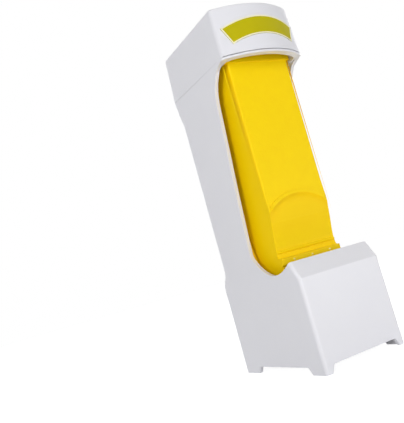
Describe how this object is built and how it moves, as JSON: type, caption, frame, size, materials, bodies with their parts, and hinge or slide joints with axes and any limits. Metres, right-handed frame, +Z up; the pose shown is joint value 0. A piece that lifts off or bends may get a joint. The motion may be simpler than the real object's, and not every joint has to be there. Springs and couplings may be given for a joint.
{
  "type": "butter slicer",
  "caption": "Hand-squeezed slicer: a sprung handle sweeps a blade plate under an upright chute and lowers the stick by one pat.",
  "frame": {"origin": "on the table under the middle of the base", "axes": "+X to the right seen from the front, +Y to the back, away from the handle, +Z up along the stick of butter"},
  "size_m": [0.062, 0.0854, 0.225],
  "materials": {
    "white_shell": "satin moulded",
    "white_inner": "matt moulded",
    "natural_plastic": "satin moulded",
    "yellow_handle": "fine textured",
    "yellow_inner": "matt moulded",
    "label": "satin inlay",
    "steel": "plain",
    "blade_steel": "ground",
    "spring_steel": "drawn wire and strip"
  },
  "bodies": {
    "body": {"housing": "white_shell", "butter_chute": "natural_plastic", "slide_frame": "white_inner", "handle_pin": "steel", "rocker_pin_left": "steel", "rocker_pin_right": "steel", "chute_screw_1": "steel", "chute_screw_2": "steel", "chute_screw_3": "steel", "chute_screw_4": "steel", "frame_screw_1": "steel", "frame_screw_2": "steel", "frame_screw_3": "steel", "frame_screw_4": "steel", "return_spring": "spring_steel"},
    "cap": {"top_cap": "white_shell", "cap_label": "label"},
    "handle": {"handle": "yellow_handle"},
    "rocker_left": {"rocker_left": "yellow_inner"},
    "rocker_right": {"rocker_right": "yellow_inner"},
    "blade_carriage": {"blade_carriage": "white_inner", "blade": "blade_steel", "blade_rivet_1": "steel", "blade_rivet_2": "steel", "blade_rivet_3": "steel", "blade_rivet_4": "steel"},
    "feed_rack_left": {"feed_rack_left": "yellow_inner"},
    "feed_rack_right": {"feed_rack_right": "yellow_inner"},
    "follower": {"follower": "white_inner", "feed_pawl_left": "spring_steel", "feed_pawl_right": "spring_steel", "check_pawl_left": "spring_steel", "check_pawl_right": "spring_steel"}
  },
  "joints": [
    {"name": "handle_squeeze", "type": "hinge", "parent": "body", "child": "handle", "pos_m": [0, -0.012, 0.205], "axis": [1, 0, 0], "range_deg": [0, 5.64], "stiffness_Nm_per_rad": 4.5, "springref_deg": -2.86, "deforming": ["return_spring"]},
    {"name": "rocker_left_swing", "type": "hinge", "parent": "body", "child": "rocker_left", "pos_m": [-0.0252, 0.0145, 0.105], "axis": [1, 0, 0], "range_deg": [0, 23.7]},
    {"name": "rocker_right_swing", "type": "hinge", "parent": "body", "child": "rocker_right", "pos_m": [0.0252, 0.0145, 0.105], "axis": [1, 0, 0], "range_deg": [0, 23.7]},
    {"name": "blade_slide", "type": "slide", "parent": "body", "child": "blade_carriage", "axis": [0, 1, 0], "range_m": [0, 0.0349]},
    {"name": "feed_left_lift", "type": "slide", "parent": "body", "child": "feed_rack_left", "axis": [0, 0, 1], "range_m": [0, 0.0066]},
    {"name": "feed_right_lift", "type": "slide", "parent": "body", "child": "feed_rack_right", "axis": [0, 0, 1], "range_m": [0, 0.0066]},
    {"name": "cap_lift", "type": "slide", "parent": "body", "child": "cap", "axis": [0, 0, 1], "range_m": [0, 0.045]},
    {"name": "follower_feed", "type": "slide", "parent": "body", "child": "follower", "axis": [0, 0, -1], "range_m": [0, 0.12]}
  ],
  "couplings": [
    {"joint": "rocker_left_swing", "follows": "handle_squeeze", "ratio": 4.2027},
    {"joint": "rocker_right_swing", "follows": "handle_squeeze", "ratio": 4.2027},
    {"joint": "blade_slide", "follows": "handle_squeeze", "m_per_rad": 0.35469},
    {"joint": "feed_left_lift", "follows": "handle_squeeze", "m_per_rad": 0.066765},
    {"joint": "feed_right_lift", "follows": "handle_squeeze", "m_per_rad": 0.066765}
  ]
}
